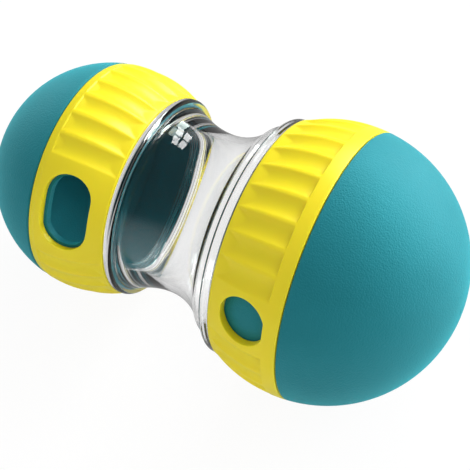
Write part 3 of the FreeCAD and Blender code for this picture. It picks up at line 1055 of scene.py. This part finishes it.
@dataclass
class Studio:
    """A white sweep in a white room, with soft lamps and windows, and the photograph's camera."""

    azimuth: float = 28.488
    elevation: float = 55.250
    camera_place: Way = (0.119188, -0.213322, 0.385096)
    lens: float = 105.83
    aim: Way = (0, 0, 0.04)
    floor_size: float = 6.0
    floor_white: float = 0.94
    room_glow: float = 0.72
    # How bright the outer faces mirror the floor and the room, and how bright both are in the tube
    mirrored_floor: float = 0.4
    mirrored_room: float = 0.22
    room_within: float = 0.8
    # Between these heights of a direction the mirrored room dims to its overhead share
    dim_from: float = 0.1
    dim_to: float = 0.4
    overhead_share: float = 0.15
    windows: tuple[PanedWindow, ...] = (
        PanedWindow("back_window", (0.34, 0.93, 0.14), 0.55),
        PanedWindow("side_window", (0.88, 0.42, 0.22), 0.3),
    )
    wide_box: SoftBox = SoftBox("wide_soft_box", (0.85, 0.55, 0.1), 1.0, (1.3, 1.3), 17.5)
    rim_box: SoftBox = SoftBox("rim_soft_box", (-0.6, 0.72, -0.3), 1.0, (0.6, 0.6), 2.0)

    def directions(self) -> tuple[Vector, Vector, Vector]:
        """Gives the camera's own directions.

        Returns:
            Right, up and backwards.
        """
        turn, lift = math.radians(self.azimuth), math.radians(self.elevation)
        right = Vector((math.cos(turn), math.sin(turn), 0))
        back = Vector((math.sin(turn) * math.cos(lift), -math.cos(turn) * math.cos(lift), math.sin(lift)))
        return right, back.cross(right), back

    def world_up(self) -> Vector:
        """Gives straight up as shares of camera right, up and back."""
        return Matrix(self.directions()) @ Vector((0, 0, 1))

    def add_camera(self) -> None:
        """Puts the camera where the photograph was taken from."""
        data = bpy.data.cameras.new("studio_camera")
        data.lens = self.lens
        data.sensor_width = 36
        data.clip_start = 0.01
        data.clip_end = 50
        camera = bpy.data.objects.new("studio_camera", data)
        turn = Matrix(self.directions()).transposed().to_4x4()
        camera.matrix_world = Matrix.Translation(Vector(self.camera_place)) @ turn
        bpy.context.scene.collection.objects.link(camera)
        bpy.context.scene.camera = camera

    def add_lamp(self, box: SoftBox) -> bpy.types.Object:
        """Adds one lamp that looks at the middle of the toy.

        Args:
            box: the lamp's name, place, size and power.

        Returns:
            The lamp.
        """
        shares = zip(box.way, self.directions())
        direction = sum((axis * share for share, axis in shares), Vector()).normalized()
        data = bpy.data.lights.new(box.name, "AREA")
        data.shape = "RECTANGLE"
        data.size, data.size_y = box.size
        data.energy = box.power
        lamp = bpy.data.objects.new(box.name, data)
        lamp.location = Vector(self.aim) + direction * box.distance
        lamp.rotation_euler = direction.to_track_quat("Z", "Y").to_euler()
        bpy.context.scene.collection.objects.link(lamp)
        return lamp

    def all_but(self, *names: str) -> bpy.types.Collection:
        """Makes the collection by which a lamp leaves some pieces out.

        Args:
            *names: the pieces that are left out.

        Returns:
            The collection.
        """
        left_out = bpy.data.collections.new(f"all but {names[-1]}")
        for name in names:
            left_out.objects.link(bpy.data.objects[name])
            left_out.collection_objects[-1].light_linking.link_state = "EXCLUDE"
        return left_out

    def seen_again(self, tree: bpy.types.NodeTree, ray: bpy.types.Node) -> bpy.types.NodeSocket:
        """Tells the rays that come mirrored or through the clear tube from the rest.

        Args:
            tree: the node tree of the floor or the room.
            ray: its light path node.

        Returns:
            The socket that is 1 for such a ray.
        """
        either = add_node(
            tree,
            "ShaderNodeMath",
            {0: ray.outputs["Is Glossy Ray"], 1: ray.outputs["Is Transmission Ray"]},
            operation="MAXIMUM",
        )
        return either.outputs["Value"]

    def strength(
        self, tree: bpy.types.NodeTree, ray: bpy.types.Node, mirrored: float
    ) -> bpy.types.NodeSocket:
        """Makes the surroundings white straight through the clear tube, and darker when mirrored.

        Args:
            tree: the node tree of the floor or the room.
            ray: its light path node.
            mirrored: how bright the outer faces mirror it.

        Returns:
            The socket that holds the strength.
        """
        bounce = add_node(
            tree,
            "ShaderNodeMix",
            {"Factor": ray.outputs["Transmission Depth"], "A": mirrored, "B": self.room_within},
        )
        power = add_node(
            tree,
            "ShaderNodeMath",
            {0: bounce.outputs["Result"], 1: ray.outputs["Glossy Depth"]},
            operation="POWER",
        )
        return power.outputs["Value"]

    def add_floor(self) -> None:
        """Lays the white sweep, which shows white to the camera and keeps a faint shadow."""
        half = self.floor_size / 2
        mesh = bpy.data.meshes.new("white_sweep")
        corners = [(-half, -half, 0), (half, -half, 0), (half, half, 0), (-half, half, 0)]
        mesh.from_pydata(corners, [], [(0, 1, 2, 3)])
        floor = bpy.data.objects.new("white_sweep", mesh)
        bpy.context.scene.collection.objects.link(floor)
        material, tree = new_material("white paper sweep")
        ray = add_node(tree, "ShaderNodeLightPath")
        white_share = add_node(
            tree,
            "ShaderNodeMath",
            {0: ray.outputs["Is Camera Ray"], 1: self.floor_white, 2: self.seen_again(tree, ray)},
            operation="MULTIPLY_ADD",
        )
        paper = add_node(tree, "ShaderNodeBsdfDiffuse", {"Color": linear("#F4F4F2")})
        white = add_node(
            tree,
            "ShaderNodeEmission",
            {"Color": linear("#FFFFFF"), "Strength": self.strength(tree, ray, self.mirrored_floor)},
        )
        surface = add_node(
            tree,
            "ShaderNodeMixShader",
            {0: white_share.outputs["Value"], 1: paper.outputs["BSDF"], 2: white.outputs["Emission"]},
        )
        add_node(tree, "ShaderNodeOutputMaterial", {"Surface": surface.outputs["Shader"]})
        mesh.materials.append(material)

    def add_room(self) -> None:
        """Makes a room that the camera sees white and that is dimmer overhead where it is mirrored."""
        world = bpy.data.worlds.new("studio_room")
        world.use_nodes = True
        tree = world.node_tree
        tree.nodes.clear()
        ray = add_node(tree, "ShaderNodeLightPath")
        way = add_node(tree, "ShaderNodeTexCoord")
        height = add_node(tree, "ShaderNodeSeparateXYZ", {"Vector": way.outputs["Generated"]})
        above = add_node(
            tree,
            "ShaderNodeMapRange",
            {
                "Value": height.outputs["Z"],
                "From Min": self.dim_from,
                "From Max": self.dim_to,
                "To Min": 1.0,
                "To Max": self.overhead_share,
            },
        )
        overhead = add_node(
            tree,
            "ShaderNodeMix",
            {"Factor": ray.outputs["Glossy Depth"], "A": 1.0, "B": above.outputs["Result"]},
        )
        dim = add_node(
            tree,
            "ShaderNodeMath",
            {0: self.strength(tree, ray, self.mirrored_room), 1: overhead.outputs["Result"]},
            operation="MULTIPLY",
        )
        soft = add_node(
            tree,
            "ShaderNodeMix",
            {"Factor": self.seen_again(tree, ray), "A": self.room_glow, "B": dim.outputs["Value"]},
        )
        seen = add_node(
            tree,
            "ShaderNodeMix",
            {"Factor": ray.outputs["Is Camera Ray"], "A": soft.outputs["Result"], "B": 1.0},
        )
        room = add_node(
            tree,
            "ShaderNodeBackground",
            {"Color": linear("#FFFFFF"), "Strength": seen.outputs["Result"]},
        )
        add_node(tree, "ShaderNodeOutputWorld", {"Surface": room.outputs["Background"]})
        bpy.context.scene.world = world

    def add_lamps(self) -> None:
        """Hangs the lamps, so that the clear tube stops none of them.

        The wide soft box doesn't light the tube, and the rim box lights the teal pieces alone.
        """
        not_tube = self.all_but(TUBE)
        boxes = [pane for window in self.windows for pane in window.panes(self.world_up())]
        lamps = [self.add_lamp(box) for box in boxes]
        wide = self.add_lamp(self.wide_box)
        wide.light_linking.receiver_collection = not_tube
        rim = self.add_lamp(self.rim_box)
        collars = [f"{end.name.lower()}_fluted_collar" for end in End]
        rim.light_linking.receiver_collection = self.all_but(TUBE, *collars)
        for lamp in lamps + [wide, rim]:
            lamp.light_linking.blocker_collection = not_tube

    def build(self) -> None:
        """Sets up the floor, the room, the lamps and the camera."""
        self.add_floor()
        self.add_room()
        self.add_lamps()
        self.add_camera()
        bpy.context.scene.view_settings.view_transform = "Standard"


BIG_COLLAR = FlutedCollar(
    end=End.BIG,
    place=BIG_BALL_PLACE,
    ball_radius=42.6,
    narrow=19.27,
    wide=4.55,
    bore=40.0,
    bearing=36.08,
    window_angle=67.97,
    window_centre=7.1,
    window_flat=7.0,
    window_back=7.4,
    window_end=7.5,
    window_corner=1.8,
    plain_span=25.4,
    flute_count=32,
    flute_depth=1.1,
    flute_slope=34.9,
    flute_round=6.12,
    flute_outer=0.23,
    flute_inner=18.27,
    ramp_inner=14.4,
)
SMALL_COLLAR = FlutedCollar(
    end=End.SMALL,
    place=-41.5,
    ball_radius=36.4,
    narrow=16.8,
    wide=7.18,
    bore=34.3,
    bearing=30.58,
    window_angle=57.34,
    window_centre=4.6,
    window_flat=7.4,
    window_back=7.4,
    window_end=11.9,
    window_corner=7.2,
    plain_span=50.5,
    flute_count=27,
    flute_depth=0.82,
    flute_slope=28,
    flute_round=7.0,
    flute_outer=4.5,
    flute_inner=16.2,
    ramp_inner=13.2,
    step_start=5.0,
)


def report(piece: bpy.types.Object) -> None:
    """Logs one piece with its faces."""
    LOG.info("%s: %d faces", piece.name, len(piece.data.polygons))


def main() -> None:
    """Builds and dresses the toy, then sets the studio round it."""
    logging.basicConfig(level=logging.INFO, format="%(message)s")
    teal = PebbledTealAbs().material()
    yellow = SatinYellowAbs().material()
    clear = ClearPolycarbonate().material()
    for maker, finish in ((HourglassTube(), clear), (BIG_COLLAR, yellow), (SMALL_COLLAR, yellow)):
        piece = maker.build()
        maker.dress(piece, finish)
        report(piece)
    for shell in (BallShell(End.BIG), BallShell(End.SMALL)):
        for piece in shell.pieces():
            shell.dress(piece, teal)
            report(piece)
    Studio().build()


if __name__ == "__main__":
    main()
